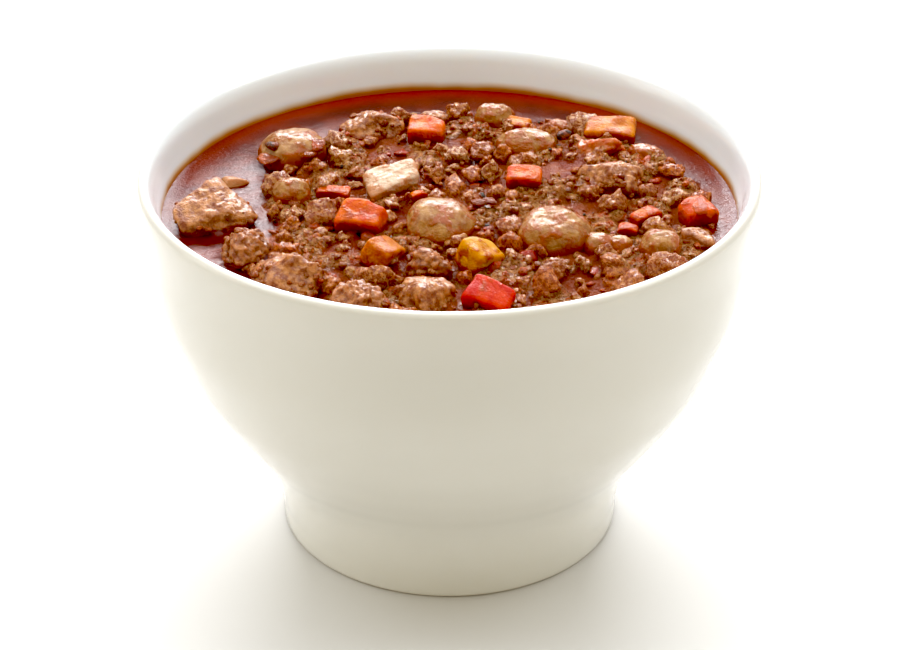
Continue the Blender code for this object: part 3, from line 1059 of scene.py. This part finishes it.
lump_tones = (
    (0.42, 0.10, 0.020, 1),
    (0.62, 0.28, 0.09, 1),
    (0.64, 0.16, 0.016, 1),
    (0.56, 0.26, 0.07, 1),
    (0.68, 0.36, 0.16, 1),
    (0.50, 0.17, 0.035, 1),
)
middle = np.stack([lump_x, lump_y, SAUCE_LEVEL + 0.7 + 0.12 * lump_size], axis=-1)
lumps = loose_bits("small_lumps", middle, lump_size, LUMP_ROWS, LUMP_COLUMNS, 1.1, 0.85, random)
add_piece("small_lumps", lumps, bit_finish("stewed bits", lump_tones, 0.22, 0.3, 0.9, 0.62))

# ---------------------------------------------------------------- mince crumbs
# Beef minced coarse and stewed until it falls into crumbs of half a millimetre to two,
# each one an angular grain that lies half in the sauce or clings to a piece of meat.

CRUMB_ROWS, CRUMB_COLUMNS = 7, 9
CRUMB_TRIES = 3600
CRUMB_SIZES = (0.5, 2.2)
CLINGING = 350


def crumb_share(x, y):
    """The chance of a crumb at a place: in the heap, and most where the mince shows."""
    return heap_share(x, y) * (0.1 + 0.6 * packed_share(x, y))


x, y, random = scattered(CRUMB_TRIES, crumb_share, 2.5, 62)
middle = np.stack([x, y, sauce_height(x, y)], axis=-1)
skin = np.concatenate(skins)
skin = skin[random.integers(0, len(skin), CLINGING)]
middle = np.concatenate([middle, skin])
size = sizes_between(CRUMB_SIZES, len(middle), 2, random)
crumb_tones = (
    (0.22, 0.055, 0.014, 1),
    (0.46, 0.17, 0.05, 1),
    (0.56, 0.26, 0.10, 1),
    (0.54, 0.10, 0.012, 1),
    (0.46, 0.20, 0.06, 1),
)
crumbs = loose_bits("mince_crumbs", middle, size, CRUMB_ROWS, CRUMB_COLUMNS, 0.25, 0.7, random)
add_piece("mince_crumbs", crumbs, bit_finish("mince grains", crumb_tones, 0.2, 0.2, 0.9))

# ---------------------------------------------------------------- shreds and flecks
# Shreds of red tomato and pepper skin lie on the sauce, thin, flat and rough. Flecks of dark
# chili and dried herb, a millimetre across, are strewn among them, with four larger dark
# bits and three larger red ones.

SHRED_ROWS, SHRED_COLUMNS = 9, 14
SHRED_TRIES = 110
SHRED_SIZES = (1.4, 3.6)
FLECK_TRIES = 130
FLECK_SIZES = (0.6, 1.5)
DARK_BITS = np.array(
    [(6.2, -5.5, 77.8), (25.0, 27.5, 78.0), (-38.3, 19.5, 79.2), (8.5, -4.5, 77.6)]
)
RED_BITS = np.array([(-29.0, 20.5, 78.6), (-39.2, 17.6, 77.2), (-30.5, 17.8, 77.6)])
DARK_SIZE, RED_SIZE = 3.2, 4.5

x, y, random = scattered(SHRED_TRIES, heap_share, 3.0, 63)
size = sizes_between(SHRED_SIZES, len(x), 1.5, random)
middle = np.stack([x, y, sauce_height(x, y) + 0.1], axis=-1)
middle = np.concatenate([middle, RED_BITS])
size = np.concatenate([size, RED_SIZE + 0 * RED_BITS[:, 0]])
shred_tones = ((0.50, 0.045, 0.006, 1), (0.56, 0.12, 0.01, 1), (0.42, 0.03, 0.005, 1))
shreds = loose_bits("skin_shreds", middle, size, SHRED_ROWS, SHRED_COLUMNS, 0.45, 0.4, random)
add_piece("skin_shreds", shreds, bit_finish("pepper skin", shred_tones, 0.18, 0.3, 3.0))

x, y, random = scattered(FLECK_TRIES, heap_share, 3.0, 64)
size = sizes_between(FLECK_SIZES, len(x), 2, random)
middle = np.stack([x, y, sauce_height(x, y) + 0.25], axis=-1)
middle = np.concatenate([middle, DARK_BITS])
size = np.concatenate([size, DARK_SIZE + 0 * DARK_BITS[:, 0]])
fleck_tones = ((0.012, 0.008, 0.004, 1), (0.03, 0.035, 0.012, 1), (0.06, 0.018, 0.008, 1))
flecks = loose_bits("herb_flecks", middle, size, CRUMB_ROWS, CRUMB_COLUMNS, 0.1, 0.4, random)
add_piece("herb_flecks", flecks, bit_finish("dried herb", fleck_tones, 0.4, 0.2, 4.0))
